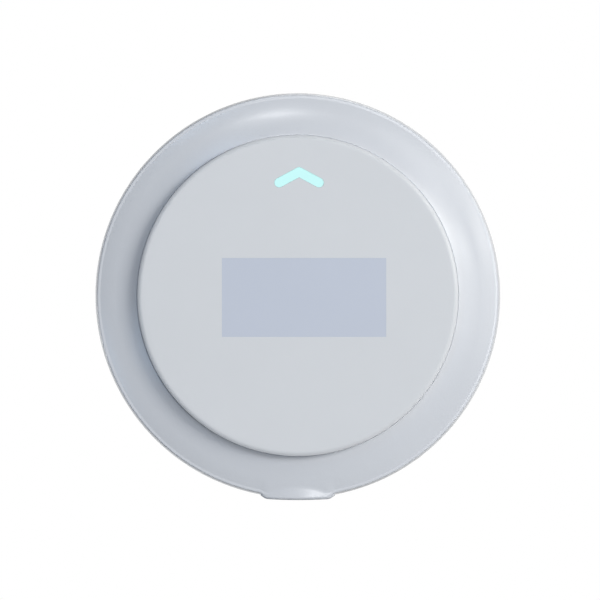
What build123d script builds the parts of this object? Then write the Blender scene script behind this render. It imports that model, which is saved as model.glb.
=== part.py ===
from build123d import *
from math import atan2, cos, degrees, hypot, radians, sin, sqrt
import os

os.makedirs("parts", exist_ok=True)

# Wall mounted fall detection sensor, in millimetres.
# X runs to the right, Z up and Y into the wall, with the origin on the wall at the plate's centre.
# A height is a distance from the wall towards the room, so a point at height h has y = -h.

# Driving sizes of the outside
outer_r = 55.0  # rim of the flared ring
face_h = 28.0  # front of the face cap above the wall
cap_r = 43.5
cap_t = 1.8
cap_gap = 0.2  # between the cap and the ring around it
cap_edge_r, cap_edge_turn = 1.95, 42.0  # rounding of the front edge, which ends before it is upright
parting_h = 16.0  # where the two shells meet
back_h = 1.0  # back of the rear shell above the wall
wall_t = 2.0
press_travel = 0.8  # how far the face cap presses in

# Flared ring, from the cap outwards: land, hollow cove, swelling brow, flatter lip and a lower ledge
sleeve_r = cap_r + cap_gap
ring_top_h = 25.4
land_w = 0.2
cove_out_r, brow_out_r = 49.6, 53.6
cove_slope, low_slope, brow_slope, lip_slope = 17.5, 11.0, 15.0, 7.0  # degrees below level
lip_w, lip_round, ledge_drop = 0.6, 0.35, 0.6
rim_chamfer = 0.4
shell_t = 1.8

# Rear shell: the flank turns in from the rim, then the heel rolls into the flat back
rear_rim_r = 54.4
flank_h, flank_r, flank_turn = 15.2, 15.0, 62.0
tongue_r, tongue_t, tongue_top, tongue_gap = 52.8, 1.2, 17.2, 0.2
pocket_r, pocket_h, pocket_floor_t = 37.0, 5.2, 1.8
pocket_wall_t = 1.8
sound_slot_r, sound_slot_l, sound_slot_w = 50.0, 9.0, 1.3
sound_slot_angles = [206, 212, 218, 224, 230]
sound_slot_top_h, sound_slot_depth = 6.0, 5.5

# Wall plate and its bayonet
plate_r, plate_t, plate_rim_h, plate_rim_w = 33.0, 2.4, 4.4, 3.0
tab_r, tab_t = 36.6, 1.6
lug_r, lug_t = 33.4, 1.6
bayonet_arc, lug_arc, stop_arc = 16.0, 15.0, 2.0  # degrees
bayonet_angles = [45, 135, 225, 315]
screw_spacing, screw_hole_r = 44.0, 2.1
screw_head_r, screw_head_depth = 4.4, 0.8
plate_hub_r, plate_ribs, plate_rib_t, plate_rib_top = 9.0, 6, 1.2, 3.6
plate_root = 1.0  # how far ribs, tabs and stops reach into the rim

# Deck of the front shell, which carries the sensor board
deck_h, deck_t = 18.4, 1.6
deck_top = deck_h + deck_t
sleeve_t = 1.8

# Boards
main_board_h, main_board_t, main_board_r = 14.2, 1.6, 39.0
main_board_top = main_board_h + main_board_t
sensor_board_h, sensor_board_t, sensor_board_r = 21.2, 1.0, 36.8
sensor_board_top = sensor_board_h + sensor_board_t

# Power inlet: a USB type C receptacle lying on the main board, its mouth facing down
inlet_w, inlet_t, inlet_l = 8.94, 3.26, 7.35
inlet_wall = 0.3
inlet_mouth_z = -54.9
inlet_mid_h = main_board_top + inlet_t / 2
inlet_clearance = 0.3
inlet_tongue_w, inlet_tongue_t = 6.7, 0.7
inlet_tab_w, inlet_tab_l, inlet_tab_z = 11.0, 18.0, -53.2  # tab of the main board under the inlet
tab_slot_gap, tab_slot_l, tab_slot_h = 0.4, 10.0, 5.0
inlet_block_l, inlet_tongue_recess = 1.6, 0.6
inlet_cut_top_z, inlet_cut_l = -46.0, 12.0

# Housing of the inlet at the bottom of the rim
block_root_w, block_foot_w = 20.3, 17.9
block_top_z, block_root_z, block_foot_z, block_low_z = -49.5, -54.15, -55.2, -55.5
block_back_h, block_shoulder_h, block_crown_h = 12.6, 22.15, 23.45
block_corner_r = 2.6
block_edge_r = 0.35

# Chevron light guide near the top of the face
chevron_half_span, chevron_foot_z, chevron_apex_z = 5.4, 30.6, 33.5
chevron_w = 2.74
guide_flange_w, guide_flange_t = 2.4, 0.8
well_gap_w, well_wall_t, well_top = 1.0, 0.9, 24.2
lamp_w, lamp_lens_w, lamp_d, lamp_layer_t = 2.0, 1.6, 1.25, 0.4

# Flush panel in the middle of the face
panel_w, panel_l, panel_t = 44.5, 21.4, 0.5
panel_x, panel_z = 1.7, -0.5

# Skirt, snap hooks and return pads of the face cap
skirt_t, skirt_foot_h = 1.8, 21.5
hook_arc, hook_t, hook_foot_h = 8.0, 1.4, 17.0
barb_r, barb_t = 44.6, 1.2
hook_angles = [0, 120, 240]
hook_slot_arc, hook_slot_w = 10.0, 2.4
pad_angles, pad_ring_r, pad_r = [60, 180, 300], 39.2, 1.9
stiffener_r, stiffener_t, stiffener_h = 22.0, 1.0, 1.0

# Screws and what they hold
post_ring_r, post_angles, post_r, post_foot_h = 43.0, [45, 135, 225, 315], 3.0, 9.0
well_r, screw_seat_h, boss_r, screw_clear_r = 2.6, 4.6, 3.4, 1.4
sensor_screw_r, sensor_screw_angles = 32.0, [30, 150, 270]
main_screw_r, main_screw_angles = 34.0, [20, 160, 235, 305]
pilot_r, standoff_r, board_hole_r = 0.9, 2.5, 1.1
post_pilot_r, post_pilot_depth = 1.05, 7.0
sensor_pilot_depth, main_pilot_depth = 2.4, 5.6
housing_head_r, housing_head_t, housing_tip_gap = 2.3, 1.6, 1.0
board_head_r, board_head_t = 1.9, 1.2
sensor_tip_gap, main_tip_gap = 0.3, 0.6
recess_w = 0.4

# Call switch under the face, and the reset switch with its button through the back
call_x, call_z = 0.0, -stiffener_r
call_body_w, call_body_t, call_stem_r, call_anvil_r = 6.0, 2.0, 1.7, 2.1
reset_z, reset_travel = 41.5, 0.6
reset_body_w, reset_body_t, reset_stem_r, reset_stem_foot = 4.2, 2.2, 1.0, 11.2
reset_cap_r, reset_cap_gap, reset_recess = 2.1, 0.2, 0.3
reset_flange_r, reset_flange_t, reset_flange_gap, reset_pin_r = 2.9, 0.7, 0.3, 1.2
reset_pad_h, reset_collar_top, reset_collar_t, reset_collar_root = 3.6, 6.0, 1.0, 0.5
reset_ear_w, reset_ear_l, ear_corner = 9.2, 7.0, 1.0
switch_fit, switch_floor, switch_gap, switch_corner = 0.05, 0.3, 0.1, 0.6
small_chamfer = 0.3

# Components on the boards
header_x, header_z, header_w, header_d = 20.0, -18.0, 14.0, 3.6
header_split_h, header_pitch, header_pins = 18.2, 2.0, 6
header_window_gap, header_window_corner = 2.0, 1.0
socket_wall_t, pin_w, pin_gap, pin_depth = 0.5, 0.5, 0.1, 2.0
radar_z, radar_w, radar_t, radar_corner = 2.0, 9.0, 1.0, 0.6
patch_offset, patch_pitch, patch_w, patch_t = 11.0, 3.0, 1.8, 0.1
module_x, module_z, module_w, module_l, module_t = 14.0, 4.0, 18.0, 25.5, 0.8
shield_offset, shield_w, shield_l, shield_t, shield_corner = 2.6, 15.6, 17.6, 2.2, 0.6
sounder_x, sounder_z, sounder_r, sounder_t, sounder_edge = -20.0, -12.0, 6.5, 5.0, 0.5
sounder_hole_r, sounder_hole_depth = 1.2, 1.5
processor_x, processor_z, processor_w, processor_t = -12.0, 10.0, 9.0, 0.9
power_z, coil_w, coil_t, coil_corner = -30.0, 6.6, 4.0, 1.4
capacitor_x, capacitor_r, capacitor_t = 7.6, 2.6, 5.0

section = Plane(origin=(0, 0, 0), x_dir=(1, 0, 0), z_dir=(0, 0, -1))  # x outwards, y = height
inlet_plane = section.offset(-inlet_cut_top_z)  # just inside the rim, facing down


def level(height):
    """Plane parallel to the wall, facing the room, with x to the right and y up."""
    return Plane.XZ.offset(height)


def polar(radius, angle):
    """Point at a radius and an angle, as seen from the room."""
    return radius * cos(radians(angle)), radius * sin(radians(angle))


def sectors(outer, inner, arc, angles):
    """Sketch of ring sectors, each centred on one of the angles."""
    with BuildSketch() as faces:
        for angle in angles:
            with BuildLine():
                outside = CenterArc((0, 0), outer, angle - arc / 2, arc)
                inside = CenterArc((0, 0), inner, angle - arc / 2, arc)
                Line(outside @ 0, inside @ 0)
                Line(outside @ 1, inside @ 1)
            make_face()
    return faces.sketch


def chevron(width):
    """Outline of the chevron: two round ended arms that meet at the top."""
    rise = chevron_apex_z - chevron_foot_z
    slope = degrees(atan2(rise, chevron_half_span))
    for side in (-1, 1):
        with Locations((side * chevron_half_span / 2, chevron_foot_z + rise / 2)):
            SlotCenterToCenter(hypot(chevron_half_span, rise), width, rotation=-side * slope)


def pan_head_screw(head_r, head_t, shank_r, length):
    """Screw with a cross recess, its seat at the origin and its shank along -Z."""
    with BuildPart() as screw:
        with BuildSketch():
            Circle(head_r)
        extrude(amount=head_t)
        with BuildSketch():
            Circle(shank_r)
        extrude(amount=-length)
        with BuildSketch(Plane.XY.offset(head_t)):
            Rectangle(head_r, recess_w)
            Rectangle(recess_w, head_r)
        extrude(amount=-head_t / 2, mode=Mode.SUBTRACT)
    return screw.part


def seats(height, radius, angles, towards_wall=False):
    """Places on a circle at one height, facing the room or the wall."""
    turn = Rot(180, 0, 0) if towards_wall else Rot(0, 0, 0)
    return [level(height).location * Pos(*polar(radius, angle), 0) * turn for angle in angles]


# Housing of the power inlet, cut in two where the shells meet
with BuildPart() as inlet_block:
    with BuildSketch(level(block_back_h)):
        with BuildLine():
            foot_x, root_x = block_foot_w / 2, block_root_w / 2
            ThreePointArc((foot_x, block_foot_z), (0, block_low_z), (-foot_x, block_foot_z))
            Polyline((-foot_x, block_foot_z), (-root_x, block_root_z), (-root_x, block_top_z))
            Line((-root_x, block_top_z), (root_x, block_top_z))
            Polyline((root_x, block_top_z), (root_x, block_root_z), (foot_x, block_foot_z))
        make_face()
    extrude(amount=block_crown_h - block_back_h)
    with BuildSketch(Plane(origin=(0, 0, block_top_z), x_dir=(1, 0, 0), z_dir=(0, 0, -1))):
        with BuildLine():
            ThreePointArc((-root_x, block_shoulder_h), (0, block_crown_h), (root_x, block_shoulder_h))
            Polyline((root_x, block_shoulder_h), (root_x, block_back_h), (-root_x, block_back_h))
            Line((-root_x, block_back_h), (-root_x, block_shoulder_h))
        make_face()
        fillet(vertices(), block_corner_r)
    extrude(amount=block_top_z - block_low_z, mode=Mode.INTERSECT)
    fillet(inlet_block.faces().sort_by(Axis.Z)[0].edges(), block_edge_r)

front_block = split(inlet_block.part, bisect_by=level(parting_h), keep=Keep.TOP)
rear_block = split(inlet_block.part, bisect_by=level(parting_h), keep=Keep.BOTTOM)

# Wall plate: a dished disc with a raised rim, bayonet tabs, stops, ribs and two screw holes
with BuildPart() as wall_plate:
    with BuildSketch(level(0)):
        Circle(plate_r)
    extrude(amount=plate_rim_h)
    with BuildSketch(level(plate_t)):
        Circle(plate_r - plate_rim_w)
    extrude(amount=plate_rim_h - plate_t, mode=Mode.SUBTRACT)
    with BuildSketch(level(plate_t)):
        Circle(plate_hub_r)
        with PolarLocations((plate_r + plate_hub_r) / 2 - plate_root, plate_ribs, start_angle=30):
            Rectangle(plate_r - plate_hub_r, plate_rib_t)
    extrude(amount=plate_rib_top - plate_t)
    with BuildSketch(level(plate_t)):
        Circle(plate_hub_r - plate_rib_t)
    extrude(amount=plate_rib_top - plate_t, mode=Mode.SUBTRACT)
    with BuildSketch(level(plate_rim_h - tab_t)):
        add(sectors(tab_r, plate_r - plate_root, bayonet_arc, bayonet_angles))
    extrude(amount=tab_t)
    with BuildSketch(level(back_h)):
        stop_angles = [angle - (bayonet_arc + stop_arc) / 2 for angle in bayonet_angles]
        add(sectors(tab_r, plate_r - plate_root, stop_arc, stop_angles))
    extrude(amount=plate_rim_h - back_h)
    with Locations(*[level(plate_t).location * Pos(side * screw_spacing / 2, 0, 0) for side in (-1, 1)]):
        CounterBoreHole(screw_hole_r, screw_head_r, screw_head_depth)
wall_plate.part.label = "wall_plate"
export_step(wall_plate.part, "parts/wall_plate.step")

# Rear shell: a saucer with a bayonet pocket in its back, screw wells, standoffs and sound slots
flank_foot_h = flank_h - flank_r * sin(radians(flank_turn))
heel_turn = 90 - flank_turn
heel_r = (flank_foot_h - back_h) / (1 - cos(radians(heel_turn)))
trough_h = back_h + wall_t
pocket_floor = pocket_h + pocket_floor_t
with BuildPart() as rear_shell:
    with BuildSketch(section):
        with BuildLine():
            outside = Line((rear_rim_r, parting_h), (rear_rim_r, flank_h))
            flank = JernArc(outside @ 1, (0, -1), flank_r, -flank_turn)
            heel = JernArc(flank @ 1, flank % 1, heel_r, -heel_turn)
            Polyline(heel @ 1, (pocket_r, back_h), (pocket_r, pocket_h), (0, pocket_h), (0, pocket_floor))
            inside = Line((rear_rim_r - wall_t, parting_h), (rear_rim_r - wall_t, flank_h))
            inner_flank = JernArc(inside @ 1, (0, -1), flank_r - wall_t, -flank_turn)
            inner_heel = JernArc(inner_flank @ 1, inner_flank % 1, heel_r - wall_t, -heel_turn)
            pocket_out_r = pocket_r + pocket_wall_t
            Line(inner_heel @ 1, (pocket_out_r, trough_h))
            Polyline((pocket_out_r, trough_h), (pocket_out_r, pocket_floor), (0, pocket_floor))
            Line(outside @ 0, inside @ 0)
        make_face()
    revolve(axis=Axis.Y)
    # locating tongue inside the front shell's wall
    with BuildSketch(level(flank_h)):
        Circle(tongue_r)
        Circle(tongue_r - tongue_t, mode=Mode.SUBTRACT)
    extrude(amount=tongue_top - flank_h)
    # lugs that turn under the tabs of the wall plate
    with BuildSketch(level(back_h)):
        add(sectors(pocket_r + pocket_wall_t / 2, lug_r, lug_arc, bayonet_angles))
    extrude(amount=lug_t)
    # screw wells, standoffs for the main board and the guide of the reset button
    with BuildSketch(level(trough_h)):
        with Locations(*[polar(post_ring_r, angle) for angle in post_angles]):
            Circle(boss_r)
    extrude(amount=post_foot_h - trough_h)
    with BuildSketch(level(pocket_floor)):
        with Locations(*[polar(main_screw_r, angle) for angle in main_screw_angles]):
            Circle(standoff_r)
    extrude(amount=main_board_h - pocket_floor)
    with BuildSketch(level(trough_h - reset_collar_root)):
        with Locations((0, reset_z)):
            Circle(reset_flange_r + reset_flange_gap + reset_collar_t)
    extrude(amount=reset_collar_top - trough_h + reset_collar_root)
    add(rear_block)
    # bores
    with BuildSketch(level(back_h)):
        with Locations(*[polar(post_ring_r, angle) for angle in post_angles]):
            Circle(well_r)
    extrude(amount=screw_seat_h - back_h, mode=Mode.SUBTRACT)
    with BuildSketch(level(back_h)):
        with Locations(*[polar(post_ring_r, angle) for angle in post_angles]):
            Circle(screw_clear_r)
        with Locations((0, reset_z)):
            Circle(reset_cap_r + reset_cap_gap)
    extrude(amount=post_foot_h - back_h, mode=Mode.SUBTRACT)
    with BuildSketch(level(reset_pad_h)):
        with Locations((0, reset_z)):
            Circle(reset_flange_r + reset_flange_gap)
    extrude(amount=post_foot_h - reset_pad_h, mode=Mode.SUBTRACT)
    with BuildSketch(level(main_board_h)):
        with Locations(*[polar(main_screw_r, angle) for angle in main_screw_angles]):
            Circle(pilot_r)
    extrude(amount=-main_pilot_depth, mode=Mode.SUBTRACT)
    # mouth of the power inlet, and the slot for the tab of the main board
    with BuildSketch(inlet_plane):
        with Locations((0, inlet_mid_h)):
            SlotOverall(inlet_w + 2 * inlet_clearance, inlet_t + 2 * inlet_clearance)
    extrude(amount=inlet_cut_l, mode=Mode.SUBTRACT)
    with BuildSketch(level(main_board_h - inlet_clearance)):
        with Locations((0, inlet_tab_z - inlet_clearance)):
            Rectangle(inlet_tab_w + 2 * tab_slot_gap, tab_slot_l, align=(Align.CENTER, Align.MIN))
    extrude(amount=tab_slot_h, mode=Mode.SUBTRACT)
    # sound slots in the lower left of the flank
    with BuildSketch(level(sound_slot_top_h)):
        for angle in sound_slot_angles:
            with Locations(Location(polar(sound_slot_r, angle), angle)):
                SlotOverall(sound_slot_l, sound_slot_w)
    extrude(amount=sound_slot_depth, mode=Mode.SUBTRACT)
rear_shell.part.label = "rear_shell"
export_step(rear_shell.part, "parts/rear_shell.step")

# Front shell: the flared ring, the sleeve around the cap, the deck and the screw posts, turned as one
cove_in_r = sleeve_r + land_w
cove_r = (cove_out_r - cove_in_r) / (sin(radians(cove_slope)) - sin(radians(low_slope)))
brow_r = (brow_out_r - cove_out_r) / (sin(radians(brow_slope)) - sin(radians(low_slope)))
flare_r = lip_w / (sin(radians(brow_slope)) - sin(radians(lip_slope)))
with BuildPart() as front_shell:
    with BuildSketch(section):
        with BuildLine():
            sleeve = Polyline((0, deck_top), (sleeve_r, deck_top), (sleeve_r, ring_top_h))
            land = Line(sleeve @ 1, (cove_in_r, ring_top_h))
            downhill = (cos(radians(cove_slope)), -sin(radians(cove_slope)))
            cove = JernArc(land @ 1, downhill, cove_r, cove_slope - low_slope)
            brow = JernArc(cove @ 1, cove % 1, brow_r, low_slope - brow_slope)
            flare = JernArc(brow @ 1, brow % 1, flare_r, brow_slope - lip_slope)
            lip = JernArc(flare @ 1, flare % 1, lip_round, lip_slope - 90)
            wall = Polyline(
                lip @ 1,
                lip @ 1 - Vector(0, ledge_drop),
                (outer_r, (lip @ 1).Y - ledge_drop),
                (outer_r, parting_h + rim_chamfer),
                (outer_r - rim_chamfer, parting_h),
                (outer_r - wall_t, parting_h),
                (outer_r - wall_t, (brow @ 1).Y - wall_t),
            )
            # underside of the ring, an even wall below the cove
            centre = cove.arc_center
            under_r = cove_r + shell_t
            sleeve_out_r = sleeve_r + sleeve_t
            low_point = centre - Vector(sin(radians(low_slope)), cos(radians(low_slope))) * under_r
            high_point = (sleeve_out_r, centre.Y - sqrt(under_r**2 - (centre.X - sleeve_out_r) ** 2))
            Line(wall @ 1, low_point)
            RadiusArc(low_point, high_point, under_r)
            Polyline(high_point, (sleeve_out_r, deck_h), (0, deck_h), (0, deck_top))
        make_face()
    revolve(axis=Axis.Y)
    with BuildSketch(level(post_foot_h)):
        with Locations(*[polar(post_ring_r, angle) for angle in post_angles]):
            Circle(post_r)
    extrude(amount=deck_h - post_foot_h)
    with BuildSketch(level(deck_top)):
        with Locations(*[polar(sensor_screw_r, angle) for angle in sensor_screw_angles]):
            Circle(standoff_r)
    extrude(amount=sensor_board_h - deck_top)
    add(front_block)
    # pilot bores, mouth of the inlet, slots for the snap hooks and the window for the board connector
    with BuildSketch(level(post_foot_h)):
        with Locations(*[polar(post_ring_r, angle) for angle in post_angles]):
            Circle(post_pilot_r)
    extrude(amount=post_pilot_depth, mode=Mode.SUBTRACT)
    with BuildSketch(level(sensor_board_h)):
        with Locations(*[polar(sensor_screw_r, angle) for angle in sensor_screw_angles]):
            Circle(pilot_r)
    extrude(amount=-sensor_pilot_depth, mode=Mode.SUBTRACT)
    with BuildSketch(inlet_plane):
        with Locations((0, inlet_mid_h)):
            SlotOverall(inlet_w + 2 * inlet_clearance, inlet_t + 2 * inlet_clearance)
    extrude(amount=inlet_cut_l, mode=Mode.SUBTRACT)
    with BuildSketch(level(parting_h)):
        Circle(tongue_r + tongue_gap)
        Circle(tongue_r - tongue_t - tongue_gap, mode=Mode.SUBTRACT)
    extrude(amount=tongue_top + tongue_gap - parting_h, mode=Mode.SUBTRACT)
    with BuildSketch(level(deck_h)):
        add(sectors(sleeve_r, sleeve_r - hook_slot_w, hook_slot_arc, hook_angles))
        with Locations((header_x, header_z)):
            window = header_w + 2 * header_window_gap, header_d + 2 * header_window_gap
            RectangleRounded(*window, header_window_corner)
    extrude(amount=deck_t, mode=Mode.SUBTRACT)
front_shell.part.label = "front_shell"
export_step(front_shell.part, "parts/front_shell.step")

# Face cap: a disc with a rounded front edge, a skirt, three snap hooks, a stiffener and the panel's pocket
with BuildPart() as face_cap:
    with BuildSketch(section):
        with BuildLine():
            flat = Line((0, face_h), (cap_r - cap_edge_r * sin(radians(cap_edge_turn)), face_h))
            edge = JernArc(flat @ 1, (1, 0), cap_edge_r, -cap_edge_turn)
            Polyline(edge @ 1, (cap_r, face_h - cap_t), (0, face_h - cap_t), (0, face_h))
        make_face()
    revolve(axis=Axis.Y)
    with BuildSketch(level(skirt_foot_h)):
        Circle(cap_r)
        Circle(cap_r - skirt_t, mode=Mode.SUBTRACT)
    extrude(amount=face_h - cap_t - skirt_foot_h)
    with BuildSketch(level(hook_foot_h)):
        add(sectors(cap_r, cap_r - hook_t, hook_arc, hook_angles))
    extrude(amount=skirt_foot_h - hook_foot_h)
    with BuildSketch(level(hook_foot_h)):
        add(sectors(barb_r, cap_r - hook_t, hook_arc, hook_angles))
    extrude(amount=barb_t)
    with BuildSketch(level(face_h - cap_t)):
        Circle(stiffener_r + stiffener_t / 2)
        Circle(stiffener_r - stiffener_t / 2, mode=Mode.SUBTRACT)
        with Locations((call_x, call_z)):
            Circle(call_anvil_r)
    extrude(amount=-stiffener_h)
    with BuildSketch(level(face_h)):
        with Locations((panel_x, panel_z)):
            Rectangle(panel_w, panel_l)
    extrude(amount=-panel_t, mode=Mode.SUBTRACT)
    with BuildSketch(level(face_h)):
        chevron(chevron_w)
    extrude(amount=-cap_t, mode=Mode.SUBTRACT)
face_cap.part.label = "face_cap"
export_step(face_cap.part, "parts/face_cap.step")

with BuildPart() as face_panel:
    with BuildSketch(level(face_h - panel_t)):
        with Locations((panel_x, panel_z)):
            Rectangle(panel_w, panel_l)
    extrude(amount=panel_t)
face_panel.part.label = "face_panel"
export_step(face_panel.part, "parts/face_panel.step")

# Light guide: the glowing chevron, flush with the face, on a wider flange behind the cap
with BuildPart() as chevron_light_guide:
    with BuildSketch(level(face_h - cap_t)):
        chevron(chevron_w)
    extrude(amount=cap_t)
    with BuildSketch(level(face_h - cap_t)):
        chevron(chevron_w + guide_flange_w)
    extrude(amount=-guide_flange_t)
chevron_light_guide.part.label = "chevron_light_guide"
export_step(chevron_light_guide.part, "parts/chevron_light_guide.step")

# Light well: a dark collar on the sensor board that keeps the light under the chevron
with BuildPart() as light_well:
    with BuildSketch(level(sensor_board_top)):
        chevron(chevron_w + well_gap_w + 2 * well_wall_t)
    extrude(amount=well_top - sensor_board_top)
    with BuildSketch(level(sensor_board_top)):
        chevron(chevron_w + well_gap_w)
    extrude(amount=well_top - sensor_board_top, mode=Mode.SUBTRACT)
light_well.part.label = "light_well"
export_step(light_well.part, "parts/light_well.step")

lamp_ends = [(side * chevron_half_span, chevron_foot_z) for side in (-1, 1)]
lamp_places = [*lamp_ends, (0, chevron_apex_z)]
with BuildPart() as indicator_lamps:
    with BuildSketch(level(sensor_board_top)):
        with Locations(*lamp_places):
            Rectangle(lamp_w, lamp_d)
    extrude(amount=lamp_layer_t)
    with BuildSketch(level(sensor_board_top + lamp_layer_t)):
        with Locations(*lamp_places):
            Rectangle(lamp_lens_w, lamp_d)
    extrude(amount=lamp_layer_t, taper=12)
indicator_lamps.part.label = "indicator_lamps"
export_step(indicator_lamps.part, "parts/indicator_lamps.step")

# Sensor board with the radar chip, its antenna patches, the call switch and the upper half of the connector
with BuildPart() as sensor_board:
    with BuildSketch(level(sensor_board_h)):
        Circle(sensor_board_r)
        with Locations(*[polar(sensor_screw_r, angle) for angle in sensor_screw_angles]):
            Circle(board_hole_r, mode=Mode.SUBTRACT)
    extrude(amount=sensor_board_t)
sensor_board.part.label = "sensor_board"
export_step(sensor_board.part, "parts/sensor_board.step")

with BuildPart() as radar_chip:
    with BuildSketch(level(sensor_board_top)):
        with Locations((0, radar_z)):
            Rectangle(radar_w, radar_w)
    extrude(amount=radar_t)
    chamfer(radar_chip.edges().filter_by(Axis.Y).sort_by(Axis.X).sort_by(Axis.Z)[-1], radar_corner)
radar_chip.part.label = "radar_chip"
export_step(radar_chip.part, "parts/radar_chip.step")

with BuildPart() as antenna_patches:
    with BuildSketch(level(sensor_board_top)):
        with Locations((0, radar_z + patch_offset)):
            with GridLocations(patch_pitch, patch_pitch, 4, 2):
                Rectangle(patch_w, patch_w)
    extrude(amount=patch_t)
antenna_patches.part.label = "antenna_patches"
export_step(antenna_patches.part, "parts/antenna_patches.step")

with BuildPart() as call_switch_body:
    with BuildSketch(level(sensor_board_top)):
        with Locations((call_x, call_z)):
            RectangleRounded(call_body_w, call_body_w, switch_corner)
    extrude(amount=call_body_t)
    with BuildSketch(level(sensor_board_top + call_body_t)):
        with Locations((call_x, call_z)):
            Circle(call_stem_r + switch_fit)
    extrude(amount=-call_body_t + switch_floor, mode=Mode.SUBTRACT)
call_switch_body.part.label = "call_switch_body"
export_step(call_switch_body.part, "parts/call_switch_body.step")

# The stem stands just clear of the stiffening ring and has room below for the whole travel
stem_top = face_h - cap_t - stiffener_h - switch_gap
stem_foot = sensor_board_top + switch_floor + press_travel + switch_gap
with BuildPart() as call_switch_stem:
    with BuildSketch(level(stem_foot)):
        with Locations((call_x, call_z)):
            Circle(call_stem_r)
    extrude(amount=stem_top - stem_foot)
    chamfer(call_switch_stem.edges().sort_by(Axis.Y)[0], small_chamfer)
call_switch_stem.part.label = "call_switch_stem"
export_step(call_switch_stem.part, "parts/call_switch_stem.step")

with BuildPart() as board_socket:
    with BuildSketch(level(sensor_board_h)):
        with Locations((header_x, header_z)):
            Rectangle(header_w + 2 * socket_wall_t, header_d + 2 * socket_wall_t)
    extrude(amount=header_split_h - sensor_board_h)
    with BuildSketch(level(header_split_h)):
        with Locations((header_x, header_z)):
            with GridLocations(header_pitch, header_pitch, header_pins, 2):
                Rectangle(pin_w + 2 * pin_gap, pin_w + 2 * pin_gap)
    extrude(amount=pin_depth + 2 * pin_gap, mode=Mode.SUBTRACT)
board_socket.part.label = "board_socket"
export_step(board_socket.part, "parts/board_socket.step")

with BuildPart() as board_header:
    with BuildSketch(level(main_board_top)):
        with Locations((header_x, header_z)):
            Rectangle(header_w, header_d)
    extrude(amount=header_split_h - main_board_top)
    with BuildSketch(level(header_split_h)):
        with Locations((header_x, header_z)):
            with GridLocations(header_pitch, header_pitch, header_pins, 2):
                Rectangle(pin_w, pin_w)
    extrude(amount=pin_depth)
board_header.part.label = "board_header"
export_step(board_header.part, "parts/board_header.step")

# Elastomer pads on the deck that push the cap back out
with BuildPart() as return_pads:
    with BuildSketch(level(deck_top)):
        with Locations(*[polar(pad_ring_r, angle) for angle in pad_angles]):
            Circle(pad_r)
            Circle(pad_r / 2, mode=Mode.SUBTRACT)
    extrude(amount=face_h - cap_t - deck_top)
return_pads.part.label = "return_pads"
export_step(return_pads.part, "parts/return_pads.step")

# Main board, with an ear for the reset switch and a tab that carries the power inlet
with BuildPart() as main_board:
    with BuildSketch(level(main_board_h)):
        Circle(main_board_r)
        with Locations((0, reset_z)):
            RectangleRounded(reset_ear_w, reset_ear_l, ear_corner)
        with Locations((0, inlet_tab_z)):
            Rectangle(inlet_tab_w, inlet_tab_l, align=(Align.CENTER, Align.MIN))
        with Locations(*[polar(main_screw_r, angle) for angle in main_screw_angles]):
            Circle(board_hole_r, mode=Mode.SUBTRACT)
    extrude(amount=main_board_t)
main_board.part.label = "main_board"
export_step(main_board.part, "parts/main_board.step")

with BuildPart() as power_inlet_shell:
    with BuildSketch(Plane(origin=(0, 0, inlet_mouth_z), x_dir=(1, 0, 0), z_dir=(0, 0, 1))):
        with Locations((0, -inlet_mid_h)):
            SlotOverall(inlet_w, inlet_t)
    extrude(amount=inlet_l)
    with BuildSketch(Plane(origin=(0, 0, inlet_mouth_z), x_dir=(1, 0, 0), z_dir=(0, 0, 1))):
        with Locations((0, -inlet_mid_h)):
            SlotOverall(inlet_w - 2 * inlet_wall, inlet_t - 2 * inlet_wall)
    extrude(amount=inlet_l - inlet_wall, mode=Mode.SUBTRACT)
power_inlet_shell.part.label = "power_inlet_shell"
export_step(power_inlet_shell.part, "parts/power_inlet_shell.step")

with BuildPart() as inlet_tongue:
    inlet_back_z = inlet_mouth_z + inlet_l - inlet_wall
    with BuildSketch(Plane(origin=(0, 0, inlet_back_z), x_dir=(1, 0, 0), z_dir=(0, 0, -1))):
        with Locations((0, inlet_mid_h)):
            SlotOverall(inlet_w - 2 * inlet_wall, inlet_t - 2 * inlet_wall)
    extrude(amount=inlet_block_l)
    with BuildSketch(Plane(origin=(0, 0, inlet_back_z), x_dir=(1, 0, 0), z_dir=(0, 0, -1))):
        with Locations((0, inlet_mid_h)):
            Rectangle(inlet_tongue_w, inlet_tongue_t)
    extrude(amount=inlet_back_z - inlet_mouth_z - inlet_tongue_recess)
inlet_tongue.part.label = "inlet_tongue"
export_step(inlet_tongue.part, "parts/inlet_tongue.step")

# Components that hang from the wall side of the main board
with BuildPart() as wireless_module:
    with BuildSketch(level(main_board_h)):
        with Locations((module_x, module_z)):
            Rectangle(module_w, module_l)
    extrude(amount=-module_t)
wireless_module.part.label = "wireless_module"
export_step(wireless_module.part, "parts/wireless_module.step")

with BuildPart() as wireless_shield:
    with BuildSketch(level(main_board_h - module_t)):
        with Locations((module_x, module_z - shield_offset)):
            RectangleRounded(shield_w, shield_l, shield_corner)
    extrude(amount=-shield_t)
    chamfer(wireless_shield.faces().sort_by(Axis.Y)[-1].edges(), small_chamfer)
wireless_shield.part.label = "wireless_shield"
export_step(wireless_shield.part, "parts/wireless_shield.step")

with BuildPart() as processor_chip:
    with BuildSketch(level(main_board_h)):
        with Locations((processor_x, processor_z)):
            Rectangle(processor_w, processor_w)
    extrude(amount=-processor_t)
processor_chip.part.label = "processor_chip"
export_step(processor_chip.part, "parts/processor_chip.step")

# Power supply parts: a square coil between two round capacitors
with BuildPart() as power_components:
    with BuildSketch(level(main_board_h)):
        with Locations((0, power_z)):
            RectangleRounded(coil_w, coil_w, coil_corner)
    extrude(amount=-coil_t)
    with BuildSketch(level(main_board_h)):
        with Locations((-capacitor_x, power_z), (capacitor_x, power_z)):
            Circle(capacitor_r)
    extrude(amount=-capacitor_t)
power_components.part.label = "power_components"
export_step(power_components.part, "parts/power_components.step")

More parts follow.
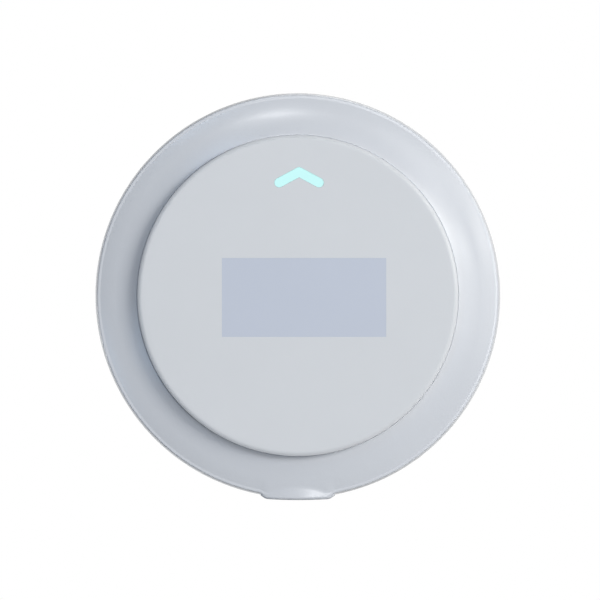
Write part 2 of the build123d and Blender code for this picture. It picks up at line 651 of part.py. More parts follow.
with BuildPart() as sounder:
    with BuildSketch(level(main_board_h)):
        with Locations((sounder_x, sounder_z)):
            Circle(sounder_r)
    extrude(amount=-sounder_t)
    chamfer(sounder.edges().sort_by(Axis.Y)[-1], sounder_edge)
    with BuildSketch(level(main_board_h - sounder_t)):
        with Locations((sounder_x, sounder_z)):
            Circle(sounder_hole_r)
    extrude(amount=sounder_hole_depth, mode=Mode.SUBTRACT)
sounder.part.label = "sounder"
export_step(sounder.part, "parts/sounder.step")

# Reset switch on the wall side of the main board, and the button that reaches it through the back
with BuildPart() as reset_switch_body:
    with BuildSketch(level(main_board_h)):
        with Locations((0, reset_z)):
            Rectangle(reset_body_w, reset_body_w)
    extrude(amount=-reset_body_t)
    with BuildSketch(level(main_board_h - reset_body_t)):
        with Locations((0, reset_z)):
            Circle(reset_stem_r + switch_fit)
    extrude(amount=reset_body_t - switch_floor, mode=Mode.SUBTRACT)
reset_switch_body.part.label = "reset_switch_body"
export_step(reset_switch_body.part, "parts/reset_switch_body.step")

reset_stem_top = main_board_h - switch_floor - reset_travel - switch_gap
with BuildPart() as reset_switch_stem:
    with BuildSketch(level(reset_stem_foot)):
        with Locations((0, reset_z)):
            Circle(reset_stem_r)
    extrude(amount=reset_stem_top - reset_stem_foot)
reset_switch_stem.part.label = "reset_switch_stem"
export_step(reset_switch_stem.part, "parts/reset_switch_stem.step")

with BuildPart() as reset_button:
    with BuildSketch(level(back_h + reset_recess)):
        with Locations((0, reset_z)):
            Circle(reset_cap_r)
    extrude(amount=reset_pad_h - back_h)
    chamfer(reset_button.edges().sort_by(Axis.Y)[-1], small_chamfer)
    with BuildSketch(level(reset_pad_h + reset_recess)):
        with Locations((0, reset_z)):
            Circle(reset_flange_r)
    extrude(amount=reset_flange_t)
    with BuildSketch(level(reset_pad_h + reset_recess)):
        with Locations((0, reset_z)):
            Circle(reset_pin_r)
    extrude(amount=reset_stem_foot - switch_gap - reset_pad_h - reset_recess)
reset_button.part.label = "reset_button"
export_step(reset_button.part, "parts/reset_button.step")

# Screws
housing_shank_l = post_foot_h + post_pilot_depth - screw_seat_h - housing_tip_gap
with BuildPart() as housing_screws:
    with Locations(*seats(screw_seat_h, post_ring_r, post_angles, towards_wall=True)):
        add(pan_head_screw(housing_head_r, housing_head_t, post_pilot_r - switch_fit, housing_shank_l))
housing_screws.part.label = "housing_screws"
export_step(housing_screws.part, "parts/housing_screws.step")

sensor_shank_l = sensor_board_t + sensor_pilot_depth - sensor_tip_gap
with BuildPart() as sensor_board_screws:
    with Locations(*seats(sensor_board_top, sensor_screw_r, sensor_screw_angles)):
        add(pan_head_screw(board_head_r, board_head_t, pilot_r - switch_fit, sensor_shank_l))
sensor_board_screws.part.label = "sensor_board_screws"
export_step(sensor_board_screws.part, "parts/sensor_board_screws.step")

main_shank_l = main_board_t + main_pilot_depth - main_tip_gap
with BuildPart() as main_board_screws:
    with Locations(*seats(main_board_top, main_screw_r, main_screw_angles)):
        add(pan_head_screw(board_head_r, board_head_t, pilot_r - switch_fit, main_shank_l))
main_board_screws.part.label = "main_board_screws"
export_step(main_board_screws.part, "parts/main_board_screws.step")
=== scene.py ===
from math import atan2, cos, degrees, pi, radians, sin, sqrt, tan

import bmesh
import bpy
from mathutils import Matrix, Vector


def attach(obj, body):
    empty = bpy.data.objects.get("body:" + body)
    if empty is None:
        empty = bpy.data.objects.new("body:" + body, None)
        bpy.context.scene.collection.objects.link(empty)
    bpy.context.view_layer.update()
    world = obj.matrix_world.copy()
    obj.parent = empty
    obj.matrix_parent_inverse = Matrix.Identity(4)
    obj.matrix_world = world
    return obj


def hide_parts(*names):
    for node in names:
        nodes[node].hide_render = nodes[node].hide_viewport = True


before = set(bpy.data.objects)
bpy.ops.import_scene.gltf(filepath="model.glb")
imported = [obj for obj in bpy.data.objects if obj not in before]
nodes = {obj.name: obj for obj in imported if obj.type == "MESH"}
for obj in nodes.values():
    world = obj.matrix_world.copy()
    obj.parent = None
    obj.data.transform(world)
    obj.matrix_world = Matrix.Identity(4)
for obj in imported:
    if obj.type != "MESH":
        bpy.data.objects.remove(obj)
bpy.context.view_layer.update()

# Sizes in millimetres: a radius from the ring's axis, a height from the wall towards the room. Most are the
# solids' own. The end of the brow, the edge of the ring, the rounds and shoulders of the inlet housing and
# the chevron differ a little from the solids, to follow the photograph.
MM = 0.001
OUTER_R, SLEEVE_R, CAP_R = 55.0, 43.55, 43.5
RING_TOP_H, PARTING_H, FACE_H, DECK_H, DECK_TOP = 25.4, 16.0, 28.0, 18.4, 20.0
WALL_T, SHELL_T, SLEEVE_T = 2.0, 1.8, 1.8
RIM_CHAMFER = 0.4

# Front of the ring from the sleeve outwards: land, hollow cove and swelling brow. Slopes, here and at the
# edge, are in degrees below level.
LAND_W, LAND_ROUND = 0.2, 0.15
SLEEVE_ROW = 1.0  # a row of points on the sleeve this far below the land, for crisp shading
COVE_OUT_R, BROW_OUT_R = 49.6, 53.5
COVE_SLOPE, LOW_SLOPE, BROW_SLOPE = 17.5, 11.0, 15.5

# Edge of the ring: a flare out of the brow, a crest with a round, and a flank that bulges down to the rim
FLARE_W, LIP_W, LIP_ROUND = 0.2, 0.45, 0.4
LIP_SLOPE, LIP_END_SLOPE = 5.0, 72.0
FLANK_TOP_H = 19.0
FLANK_STEPS, RIM_STEPS = 8, 8

# Housing of the power inlet at the bottom of the rim: half widths, distances below the axis, and heights
BLOCK_ROOT_X, BLOCK_FOOT_X = 10.15, 8.95
BLOCK_ROOT_Z, BLOCK_FOOT_Z, BLOCK_LOW_Z = 54.15, 55.2, 55.5
BLOCK_CROWN_H, BLOCK_SHOULDER_H = 23.45, 22.75
BLOCK_EDGE_R = 0.8
FRONT_BLEND, CORNER_BLEND, ROOT_BLEND = 0.12, 0.8, 0.3  # widths of the rounding where two faces meet
BLOCK_TURN = 14  # beyond this many degrees from the bottom, the outer edge is the plain circle
THICK_TURN, THICK_R = 10.5, 49.6  # up to this turn from the bottom, the outer wall starts at this radius
STRETCH_R = 50.5  # the ring's section stretches outwards from here, to reach the housing's edge
OUTLINE_ROUNDS = 6  # rounds in which the radius of the housing's edge settles
MOUTH_W, MOUTH_T, MOUTH_H = 9.54, 3.86, 17.43
MOUTH_NEAR_Z, MOUTH_FAR_Z = 46, 58

# Angles round the ring in degrees: a fine step near the inlet housing and a coarse one everywhere else
FINE_TURN, FINE_STEP, COARSE_STEP = 15, 0.15, 0.75

# Face cap with its panel and chevron
CAP_T, CAP_EDGE_R, CAP_EDGE_TURN, SKIRT_T, SKIRT_FOOT_H = 1.8, 1.95, 42.0, 1.8, 21.5
CAP_PIN_R = 0.02  # the cap's section stops this far from the axis, behind the panel
CAP_ROW_IN, CAP_ROW_NEAR, CAP_ROW_FAR = 1.0, 0.04, 0.5  # rows beside the rounded edge, for crisp shading
PANEL_W, PANEL_L, PANEL_T, PANEL_X, PANEL_Z = 44.5, 21.4, 0.5, 1.7, -0.5
PANEL_GAP = 0.01
CHEVRON_X, CHEVRON_SPAN, CHEVRON_FOOT_Z, CHEVRON_APEX_Z = 0.35, 5.4, 30.6, 33.5
CHEVRON_W, CHEVRON_GAP = 2.66, 0.05
CUTTER_EXTRA = 1  # how far a cutter reaches past the face that it opens

# Edges sharper than this many degrees stay sharp in the shading, on the scene's own pieces and on the CAD's
OWN_SHARP_ANGLE, CAD_SHARP_ANGLE = 35.0, 30.0

# Photograph: 600 by 600 pixels, the ring's circle 202.6 pixels in radius about (297.3, 295.1)
IMAGE_SIZE = 600
RING_PX_R, RING_PX_X, RING_PX_Y = 202.6, 297.3, 295.1
SCALE_H = 22.0  # height near the ring's edge at which the picture has exactly this scale
CAMERA_DISTANCE = 2.4  # metres in front of that height
SENSOR_W = 36.0

# Signs of a rectangle's corners, going round
CORNERS = ((-1, -1), (1, -1), (1, 1), (-1, 1))

# Stage: a floor below the part, in metres, and the world's soft light
FLOOR_HALF, FLOOR_Z = 3.0, -2.3
FLOOR_DARK, FLOOR_PALE = (0.90, 0.90, 0.90), (0.93, 0.93, 0.93)
AMBIENT_COLOUR, AMBIENT_LEVEL = (0.95, 0.98, 1.0), 0.05

# Scales of the noise in the materials, in features per metre, and how far it moves gloss and glow
CLOUD_SCALE, GLOSS_SCALE, GLOW_SCALE, MARK_SCALE, FLOOR_SCALE = 45.0, 160.0, 300.0, 900.0, 30.0
GLOSS_STRAY, GLOW_STRAY = 0.04, 0.03


def point(radius, angle, height):
    """Place in metres of a point given by radius, angle in radians seen from the room, and height."""
    return radius * cos(angle) * MM, -height * MM, radius * sin(angle) * MM


def arc(centre, radius, start, end, steps):
    """Points on an arc about a centre, from one angle to another in degrees, both ends included."""
    angles = [radians(start + (end - start) * i / steps) for i in range(steps + 1)]
    return [(centre[0] + radius * cos(a), centre[1] + radius * sin(a)) for a in angles]


def straight(start, end, steps):
    """Points evenly along a line, from its start, without its end."""
    return [tuple(a + (b - a) * i / steps for a, b in zip(start, end)) for i in range(steps)]


def smooth_max(a, b, width):
    """The larger of two numbers, rounded where they are closer than a width."""
    near = max(width - abs(a - b), 0.0) / width
    return max(a, b) + near * near * width / 4


def make_object(name, verts, faces):
    """Mesh object of points in metres, smooth shaded except across sharp edges."""
    mesh = bpy.data.meshes.new(name)
    mesh.from_pydata(verts, [], faces)
    mesh.validate()
    mesh.update()
    obj = bpy.data.objects.new(name, mesh)
    bpy.context.scene.collection.objects.link(obj)
    shade(obj, OWN_SHARP_ANGLE)
    return obj


def shade(obj, sharp_angle):
    """Smooth shading, except across edges sharper than an angle in degrees."""
    obj.data.shade_smooth()
    obj.data.set_sharp_from_angle(angle=radians(sharp_angle))


def cut(obj, *cutters):
    """Takes other meshes out of an object and removes them."""
    for cutter in cutters:
        modifier = obj.modifiers.new("cut", "BOOLEAN")
        modifier.operation = "DIFFERENCE"
        modifier.solver = "EXACT"
        modifier.object = cutter
    bpy.context.view_layer.update()
    graph = bpy.context.evaluated_depsgraph_get()
    mesh = bpy.data.meshes.new_from_object(obj.evaluated_get(graph))
    obj.modifiers.clear()
    obj.data = mesh
    for cutter in cutters:
        bpy.data.objects.remove(cutter)
    shade(obj, OWN_SHARP_ANGLE)


def make_outward(obj):
    """Turns all faces of a closed mesh outwards."""
    mesh = bmesh.new()
    mesh.from_mesh(obj.data)
    bmesh.ops.recalc_face_normals(mesh, faces=mesh.faces)
    mesh.to_mesh(obj.data)
    mesh.free()


def bridge(name, start, end):
    """Closed solid between two outlines in metres, which have the same number of points."""
    count = len(start)
    sides = [(i, (i + 1) % count, count + (i + 1) % count, count + i) for i in range(count)]
    ends = [tuple(reversed(range(count))), tuple(range(count, 2 * count))]
    obj = make_object(name, start + end, sides + ends)
    make_outward(obj)
    return obj


def prism(name, outline, low, high):
    """Solid between two heights over an outline of (x, z) points."""
    bottom, top = ([(x * MM, -h * MM, z * MM) for x, z in outline] for h in (low, high))
    return bridge(name, bottom, top)


def turned(name, columns, angles):
    """Solid through closed rows of (radius, height), one at each angle, joined all the way round."""
    rows = len(columns[0])
    verts = [point(r, angle, h) for angle, column in zip(angles, columns) for r, h in column]
    faces = []
    for i in range(len(angles)):
        j = (i + 1) % len(angles)
        for k in range(rows):
            m = (k + 1) % rows
            faces.append((i * rows + k, j * rows + k, j * rows + m, i * rows + m))
    obj = make_object(name, verts, faces)
    make_outward(obj)
    return obj


# The flared ring with the front half of the inlet housing

def ring_section():
    """The ring's section in two runs of (radius, height): over land, cove, brow, lip and flank, and back."""
    cove_in_r = SLEEVE_R + LAND_W
    steep, low, edge, flat = (sin(radians(a)) for a in (COVE_SLOPE, LOW_SLOPE, BROW_SLOPE, LIP_SLOPE))
    cove_r = (COVE_OUT_R - cove_in_r) / (steep - low)
    cove_centre = (cove_in_r + cove_r * steep, RING_TOP_H + cove_r * cos(radians(COVE_SLOPE)))
    cove = arc(cove_centre, cove_r, -90 - COVE_SLOPE, -90 - LOW_SLOPE, 40)
    brow_r = (BROW_OUT_R - COVE_OUT_R) / (edge - low)
    brow_centre = (COVE_OUT_R - brow_r * low, cove[-1][1] - brow_r * cos(radians(LOW_SLOPE)))
    brow = arc(brow_centre, brow_r, 90 - LOW_SLOPE, 90 - BROW_SLOPE, 24)[1:]
    flare_r = FLARE_W / edge
    flare_centre = (BROW_OUT_R + FLARE_W, brow[-1][1] + flare_r * cos(radians(BROW_SLOPE)))
    flare = arc(flare_centre, flare_r, -90 - BROW_SLOPE, -90, 6)[1:]
    crest_r = LIP_W / flat
    crest = arc((flare[-1][0], flare[-1][1] - crest_r), crest_r, 90, 90 - LIP_SLOPE, 6)[1:]
    lip_centre = (crest[-1][0] - LIP_ROUND * flat, crest[-1][1] - LIP_ROUND * cos(radians(LIP_SLOPE)))
    lip = flare + crest + arc(lip_centre, LIP_ROUND, 90 - LIP_SLOPE, 90 - LIP_END_SLOPE, 10)[1:]
    rim = (OUTER_R, FLANK_TOP_H)
    flank = [bulge(lip[-1], rim, (i + 1) / FLANK_STEPS) for i in range(FLANK_STEPS)]
    land = [(SLEEVE_R, DECK_TOP), (SLEEVE_R, RING_TOP_H - SLEEVE_ROW)]
    land += arc((SLEEVE_R + LAND_ROUND, RING_TOP_H - LAND_ROUND), LAND_ROUND, 180, 90, 4)
    top = land + cove + brow + lip + flank
    sleeve_out = SLEEVE_R + SLEEVE_T
    under = [(OUTER_R - WALL_T, PARTING_H), (OUTER_R - WALL_T, brow[-1][1] - WALL_T)]
    under += arc(cove_centre, cove_r + SHELL_T, -90 - LOW_SLOPE, -90 - COVE_SLOPE, 8)
    under += [(sleeve_out, under[-1][1]), (sleeve_out, DECK_H), (SLEEVE_R, DECK_H)]
    return top, under


def bulge(start, end, share):
    """Point at a share of a bulged line, which starts slanted and ends upright."""
    return start[0] + (end[0] - start[0]) * (1 - (1 - share) ** 2), start[1] + (end[1] - start[1]) * share


def outline_r(angle):
    """Radius of the outer edge at an angle, where the inlet housing stands out of the circle."""
    turn = angle + pi / 2
    if abs(turn) > radians(BLOCK_TURN):
        return OUTER_R
    slant_w = BLOCK_ROOT_X - BLOCK_FOOT_X
    radius = OUTER_R
    for _ in range(OUTLINE_ROUNDS):
        x = abs(radius * sin(turn))
        circle = sqrt(OUTER_R**2 - x * x)
        foot = BLOCK_LOW_Z - (BLOCK_LOW_Z - BLOCK_FOOT_Z) * (x / BLOCK_FOOT_X) ** 2
        side = BLOCK_ROOT_Z + (BLOCK_ROOT_X - x) * (BLOCK_FOOT_Z - BLOCK_ROOT_Z) / slant_w
        block = -smooth_max(-foot, -side, CORNER_BLEND)
        radius = smooth_max(circle, block, ROOT_BLEND) / cos(turn)
    return radius


def block_height(x, inset):
    """Height of the inlet housing's crowned front, rounded off close to its edge and sides."""
    if abs(x) >= BLOCK_ROOT_X:
        return PARTING_H
    height = BLOCK_CROWN_H - (BLOCK_CROWN_H - BLOCK_SHOULDER_H) * (x / BLOCK_ROOT_X) ** 2
    short = max(BLOCK_EDGE_R - min(inset, BLOCK_ROOT_X - abs(x)), 0.0)
    return height - BLOCK_EDGE_R + sqrt(max(BLOCK_EDGE_R**2 - short * short, 0.0))


def ring_angles():
    """Angles round the ring, close together at the inlet housing."""
    fine = [-FINE_TURN + i * FINE_STEP for i in range(round(2 * FINE_TURN / FINE_STEP))]
    coarse = [FINE_TURN + i * COARSE_STEP for i in range(round((360 - 2 * FINE_TURN) / COARSE_STEP))]
    return [radians(turn - 90) for turn in fine + coarse]


def ring_column(top, under, angle):
    """The ring's section at an angle, stretched to the outer edge there and raised at the inlet housing."""
    turn = angle + pi / 2
    edge = outline_r(angle)
    column = []
    for r, h in top:
        if r > STRETCH_R:
            r = STRETCH_R + (r - STRETCH_R) * (edge - STRETCH_R) / (OUTER_R - STRETCH_R)
        if abs(turn) < radians(FINE_TURN):
            h = smooth_max(h, block_height(r * sin(turn), edge - r), FRONT_BLEND)
        column.append((r, h))
    chamfer_top = PARTING_H + RIM_CHAMFER
    column += straight((edge, column[-1][1]), (edge, chamfer_top), RIM_STEPS)[1:]
    column += [(edge, chamfer_top), (edge - RIM_CHAMFER, PARTING_H)]
    wall_r = THICK_R if abs(turn) < radians(THICK_TURN) else OUTER_R - WALL_T
    column += [(min(r, wall_r) if r > STRETCH_R else r, h) for r, h in under]
    return column


def build_mouth_cutter():
    """Slot with round ends that runs down through the ring, for the mouth of the power inlet."""
    half_w, half_t = MOUTH_W / 2, MOUTH_T / 2
    outline = arc((half_w - half_t, 0), half_t, -90, 90, 24)
    outline += [(-x, -t) for x, t in outline]
    reach = (MOUTH_NEAR_Z, MOUTH_FAR_Z)
    near, far = ([(x * MM, -(MOUTH_H + t) * MM, -z * MM) for x, t in outline] for z in reach)
    return bridge("mouth_cutter", near, far)


def build_front_ring():
    """The flared ring with the front half of the inlet housing and its mouth."""
    top, under = ring_section()
    angles = ring_angles()
    ring = turned("front_ring", [ring_column(top, under, angle) for angle in angles], angles)
    cut(ring, build_mouth_cutter())
    return ring


# The face: cap, panel and chevron

def chevron_outline(width):
    """Outline of two round ended arms that meet at the top, going round once."""
    half = width / 2
    rise = CHEVRON_APEX_Z - CHEVRON_FOOT_Z
    slope = degrees(atan2(rise, CHEVRON_SPAN))
    left, right = (CHEVRON_X - CHEVRON_SPAN, CHEVRON_FOOT_Z), (CHEVRON_X + CHEVRON_SPAN, CHEVRON_FOOT_Z)
    apex = (CHEVRON_X, CHEVRON_APEX_Z)
    points = arc(right, half, -90 - slope, 90 - slope, 24)
    points += arc(apex, half, 90 - slope, 90 + slope, 10)
    points += arc(left, half, 90 + slope, 270 + slope, 24)
    points.append((CHEVRON_X, CHEVRON_APEX_Z - half / cos(radians(slope))))
    return points


def rectangle(width, length, x, z):
    """Corners of a rectangle about a middle point."""
    return [(x + sx * width / 2, z + sz * length / 2) for sx, sz in CORNERS]


def build_face_disc():
    """The cap: a flat face with a rounded edge, a skirt, and openings for the panel and the chevron."""
    flat_r = CAP_R - CAP_EDGE_R * sin(radians(CAP_EDGE_TURN))
    section = [(CAP_PIN_R, FACE_H), (flat_r - CAP_ROW_IN, FACE_H)]
    section += arc((flat_r, FACE_H - CAP_EDGE_R), CAP_EDGE_R, 90, 90 - CAP_EDGE_TURN, 12)
    edge_h = section[-1][1]
    section.append((CAP_R, edge_h - CAP_ROW_NEAR))
    section += straight((CAP_R, edge_h - CAP_ROW_FAR), (CAP_R, SKIRT_FOOT_H), 3)
    section += [(CAP_R, SKIRT_FOOT_H), (CAP_R - SKIRT_T, SKIRT_FOOT_H)]
    section += [(CAP_R - SKIRT_T, FACE_H - CAP_T), (CAP_PIN_R, FACE_H - CAP_T)]
    angles = [radians(i * COARSE_STEP) for i in range(round(360 / COARSE_STEP))]
    disc = turned("face_disc", [section] * len(angles), angles)
    above = FACE_H + CUTTER_EXTRA
    pocket = prism("pocket_cutter", rectangle(PANEL_W, PANEL_L, PANEL_X, PANEL_Z), FACE_H - PANEL_T, above)
    slot = prism("slot_cutter", chevron_outline(CHEVRON_W), FACE_H - CAP_T - CUTTER_EXTRA, above)
    cut(disc, pocket, slot)
    return disc


def build_panel():
    """The flat inlay, flush with the face and a hair smaller than its pocket."""
    outline = rectangle(PANEL_W - PANEL_GAP, PANEL_L - PANEL_GAP, PANEL_X, PANEL_Z)
    return prism("face_inlay", outline, FACE_H - PANEL_T + PANEL_GAP, FACE_H)


def build_chevron():
    """The light guide in its slot, as thick as the face and flush with it."""
    return prism("chevron_lens", chevron_outline(CHEVRON_W - 2 * CHEVRON_GAP), FACE_H - CAP_T, FACE_H)


# Materials

def node_material(name):
    """New node material, with its node tree and its shader."""
    material = bpy.data.materials.new(name)
    material.use_nodes = True
    tree = material.node_tree
    return material, tree, tree.nodes["Principled BSDF"]


def noise(tree, scale, detail=2.0, roughness=0.5):
    """Noise over the object's own coordinates, with its scale in features per metre."""
    coordinates = tree.nodes.get("Texture Coordinate") or tree.nodes.new("ShaderNodeTexCoord")
    texture = tree.nodes.new("ShaderNodeTexNoise")
    texture.inputs["Scale"].default_value = scale
    texture.inputs["Detail"].default_value = detail
    texture.inputs["Roughness"].default_value = roughness
    tree.links.new(coordinates.outputs["Object"], texture.inputs["Vector"])
    return texture.outputs["Fac"]


def tint(tree, pattern, low, high, target):
    """Drives a colour input between two colours by a pattern."""
    mix = tree.nodes.new("ShaderNodeMix")
    mix.data_type = "RGBA"
    mix.inputs["A"].default_value = (*low, 1)
    mix.inputs["B"].default_value = (*high, 1)
    tree.links.new(pattern, mix.inputs["Factor"])
    tree.links.new(mix.outputs["Result"], target)


def vary(tree, pattern, low, high, target):
    """Drives a number input between two values by a pattern."""
    level = tree.nodes.new("ShaderNodeMapRange")
    level.inputs["To Min"].default_value = low
    level.inputs["To Max"].default_value = high
    tree.links.new(pattern, level.inputs["Value"])
    tree.links.new(level.outputs["Result"], target)


def moulded(name, colour, roughness, grain=2200.0, grain_height=0.00002, variation=0.02):
    """Moulded plastic: a faint cloudy tone, a fine grain and uneven gloss."""
    material, tree, shader = node_material(name)
    low = [c * (1 - variation) for c in colour]
    high = [min(c * (1 + variation), 1.0) for c in colour]
    cloud = noise(tree, CLOUD_SCALE, detail=3.0)
    tint(tree, cloud, low, high, shader.inputs["Base Color"])
    gloss = noise(tree, GLOSS_SCALE, detail=4.0)
    vary(tree, gloss, roughness - GLOSS_STRAY, roughness + GLOSS_STRAY, shader.inputs["Roughness"])
    bump = tree.nodes.new("ShaderNodeBump")
    bump.inputs["Strength"].default_value = 0.35
    bump.inputs["Distance"].default_value = grain_height
    tree.links.new(noise(tree, grain), bump.inputs["Height"])
    tree.links.new(bump.outputs["Normal"], shader.inputs["Normal"])
    return material


def glowing(name, base, colour, glow):
    """Lit light guide: frosted plastic that shines almost evenly."""
    material, tree, shader = node_material(name)
    low, high = glow * (1 - GLOW_STRAY), glow * (1 + GLOW_STRAY)
    vary(tree, noise(tree, GLOW_SCALE), low, high, shader.inputs["Emission Strength"])
    shader.inputs["Base Color"].default_value = (*base, 1)
    shader.inputs["Emission Color"].default_value = (*colour, 1)
    shader.inputs["Roughness"].default_value = 0.45
    return material


def metal(name, colour, roughness):
    """Plated metal with fine marks and slightly uneven gloss."""
    material, tree, shader = node_material(name)
    marks = noise(tree, MARK_SCALE, detail=5.0, roughness=0.6)
    tint(tree, marks, [c * 0.92 for c in colour], colour, shader.inputs["Base Color"])
    vary(tree, marks, roughness - 0.06, roughness + 0.08, shader.inputs["Roughness"])
    shader.inputs["Metallic"].default_value = 1.0
    return material


def dress(node, material):
    """Gives a CAD node its material and its shading."""
    obj = nodes[node]
    obj.data.materials.clear()
    obj.data.materials.append(material)
    shade(obj, CAD_SHARP_ANGLE)


def place(piece, body, slot, material, *replaced):
    """Sets a piece's material and its body, and hides the CAD nodes that it stands for. The slot is not
    used.
    """
    piece.data.materials.clear()
    piece.data.materials.append(material)
    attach(piece, body)
    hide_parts(*replaced)


shell_satin = moulded("shell_satin", (0.620, 0.648, 0.700), 0.20)
face_satin = moulded("face_satin", (0.645, 0.670, 0.708), 0.45)
rear_satin = moulded("rear_satin", (0.60, 0.628, 0.668), 0.5, grain=1500.0, grain_height=0.00004)
panel_satin = moulded("panel_satin", (0.510, 0.558, 0.662), 0.4, variation=0.012)
bracket = moulded("bracket", (0.56, 0.58, 0.61), 0.5, grain=1200.0, grain_height=0.00004)
black_plastic = moulded("black_plastic", (0.02, 0.02, 0.022), 0.45, variation=0.1)
board_green = moulded("board_green", (0.02, 0.14, 0.06), 0.3, grain=600.0, variation=0.12)
chip_epoxy = moulded("chip_epoxy", (0.025, 0.025, 0.028), 0.6, variation=0.1)
lamp_body = moulded("lamp_body", (0.85, 0.84, 0.74), 0.35)
grey_rubber = moulded("grey_rubber", (0.26, 0.27, 0.28), 0.7, variation=0.06)
cream_nylon = moulded("cream_nylon", (0.70, 0.67, 0.58), 0.45)
sheet_steel = metal("sheet_steel", (0.62, 0.63, 0.65), 0.3)
screw_steel = metal("screw_steel", (0.55, 0.55, 0.56), 0.35)
gold = metal("gold", (0.85, 0.62, 0.28), 0.28)
chevron_glow = glowing("chevron_glow", (0.25, 0.45, 0.45), (0.31, 0.50, 0.50), 1.0)

place(build_front_ring(), "housing", "shell_plastic", shell_satin, "front_shell")
place(build_face_disc(), "face", "face_plastic", face_satin, "face_cap")
place(build_panel(), "face", "panel_film", panel_satin, "face_panel")
place(build_chevron(), "face", "light_guide", chevron_glow, "chevron_light_guide")

dressed = {
    "wall_plate": bracket, "rear_shell": rear_satin, "reset_button": rear_satin,
    "light_well": black_plastic, "indicator_lamps": lamp_body, "sensor_board": board_green,
    "radar_chip": chip_epoxy, "antenna_patches": gold, "call_switch_body": black_plastic,
    "call_switch_stem": cream_nylon, "board_socket": black_plastic, "board_header": black_plastic,
    "return_pads": grey_rubber, "main_board": board_green, "power_inlet_shell": sheet_steel,
    "inlet_tongue": black_plastic, "wireless_module": board_green, "wireless_shield": sheet_steel,
    "processor_chip": chip_epoxy, "power_components": chip_epoxy, "sounder": black_plastic,
    "reset_switch_body": black_plastic, "reset_switch_stem": cream_nylon,
    "housing_screws": screw_steel, "sensor_board_screws": screw_steel, "main_board_screws": screw_steel,
}
for node, material in dressed.items():
    dress(node, material)


# Stage, light and camera

def build_floor():
    """Plain pale floor well below the part."""
    verts = [(sx * FLOOR_HALF, sy * FLOOR_HALF, FLOOR_Z) for sx, sy in CORNERS]
    floor = make_object("floor", verts, [(0, 1, 2, 3)])
    material, tree, shader = node_material("floor_white")
    tint(tree, noise(tree, FLOOR_SCALE), FLOOR_DARK, FLOOR_PALE, shader.inputs["Base Color"])
    shader.inputs["Roughness"].default_value = 0.8
    floor.data.materials.append(material)


def larger(tree, first, second):
    """The larger of two outputs."""
    node = tree.nodes.new("ShaderNodeMath")
    node.operation = "MAXIMUM"
    tree.links.new(first, node.inputs[0])
    tree.links.new(second, node.inputs[1])
    return node.outputs[0]


def background(tree, colour, level):
    """Plain background of a colour and a level."""
    node = tree.nodes.new("ShaderNodeBackground")
    node.inputs["Color"].default_value = (*colour, 1)
    node.inputs["Strength"].default_value = level
    return node.outputs[0]


def build_world():
    """White to the camera, to gloss and to glass, and a soft cool level of light on everything else."""
    world = bpy.data.worlds.new("studio")
    bpy.context.scene.world = world
    world.use_nodes = True
    tree = world.node_tree
    tree.nodes.clear()
    ray = tree.nodes.new("ShaderNodeLightPath").outputs
    direct = larger(tree, ray["Is Camera Ray"], ray["Is Transmission Ray"])
    mix = tree.nodes.new("ShaderNodeMixShader")
    tree.links.new(larger(tree, direct, ray["Is Glossy Ray"]), mix.inputs["Fac"])
    tree.links.new(background(tree, AMBIENT_COLOUR, AMBIENT_LEVEL), mix.inputs[1])
    tree.links.new(background(tree, (1, 1, 1), 1.0), mix.inputs[2])
    out = tree.nodes.new("ShaderNodeOutputWorld")
    tree.links.new(mix.outputs[0], out.inputs["Surface"])


# Tints of the lamps
WARM, NEUTRAL, COOL = (1.02, 1.0, 0.96), (1.0, 1.0, 1.0), (0.70, 1.0, 1.40)
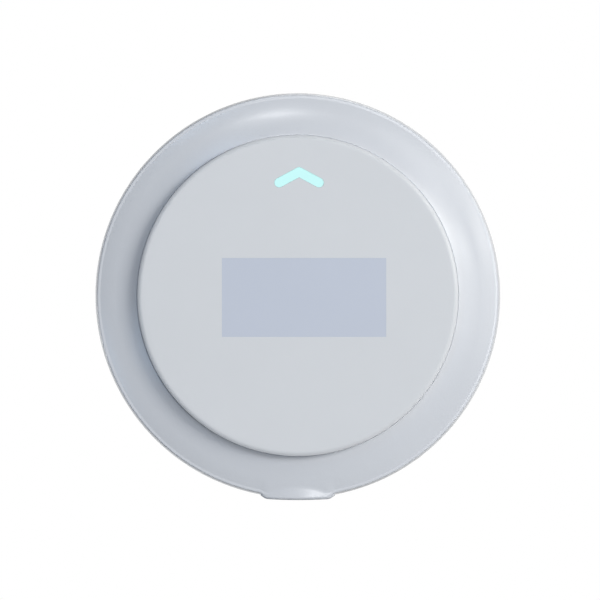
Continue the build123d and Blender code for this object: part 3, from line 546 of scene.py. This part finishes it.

# Lamps: tilt from straight ahead and turn anticlockwise from the right in degrees, half angle of the disc
# in degrees as the part sees it, level that a white card facing the lamp would show, and tint. The levels
# started from a least squares fit of one render per lamp direction to the photograph, then were rounded and
# changed.
LAMPS = {
    "key": (50, 21, 12, 0.61, WARM),
    "key_side": (50, 330, 12, 0.05, NEUTRAL),
    "grazing": (76, 30, 12, 0.04, WARM),
    "front_high": (22, 45, 8, 0.05, NEUTRAL),
    "front_right": (30, 0, 8, 0.037, WARM),
    "right": (38, 30, 8, 0.064, WARM),
    "upper_left": (38, 120, 8, 0.04, COOL),
    "lower_left": (38, 200, 8, 0.04, COOL),
    "spark_front": (8, 0, 3, 0.07, NEUTRAL),
    "spark_high": (8, 60, 3, 0.045, NEUTRAL),
    "spark_top": (22, 97, 2, 0.058, NEUTRAL),
    "spark_right": (30, 18, 3, 0.02, WARM),
    "back_left": (118, 190, 10, 0.30, NEUTRAL),
    "back_top": (135, 80, 14, 0.14, NEUTRAL),
}
LAMP_DISTANCE = 2.5  # metres from the middle of the wall plate's back


def build_light(name, tilt, turn, half_angle, level, colour):
    """Round area lamp aimed at the part, with the power that gives its level at this distance."""
    lamp = bpy.data.lights.new(name, "AREA")
    lamp.shape = "DISK"
    lamp.size = 2 * LAMP_DISTANCE * tan(radians(half_angle))
    lamp.energy = level * pi * LAMP_DISTANCE**2 * pi
    lamp.color = colour
    obj = bpy.data.objects.new(name, lamp)
    bpy.context.scene.collection.objects.link(obj)
    t, u = radians(tilt), radians(turn)
    obj.location = [LAMP_DISTANCE * c for c in (sin(t) * cos(u), -cos(t), sin(t) * sin(u))]
    obj.rotation_euler = (-Vector(obj.location)).to_track_quat("-Z", "Y").to_euler()


def build_camera():
    """Long lens straight in front, placed so that the ring's circle falls where the photograph has it."""
    scale = OUTER_R * MM / RING_PX_R
    centre_px = (IMAGE_SIZE - 1) / 2
    data = bpy.data.cameras.new("camera")
    data.sensor_width = SENSOR_W
    data.lens = SENSOR_W * CAMERA_DISTANCE / (scale * IMAGE_SIZE)
    data.clip_start, data.clip_end = 0.01, 50.0
    camera = bpy.data.objects.new("camera", data)
    bpy.context.scene.collection.objects.link(camera)
    camera.location = (
        (centre_px - RING_PX_X) * scale,
        -SCALE_H * MM - CAMERA_DISTANCE,
        (RING_PX_Y - centre_px) * scale,
    )
    camera.rotation_euler = (radians(90), 0, 0)
    bpy.context.scene.camera = camera


build_floor()
build_world()
for name, lamp in LAMPS.items():
    build_light(name, *lamp)
build_camera()
bpy.context.scene.view_settings.view_transform = "Standard"
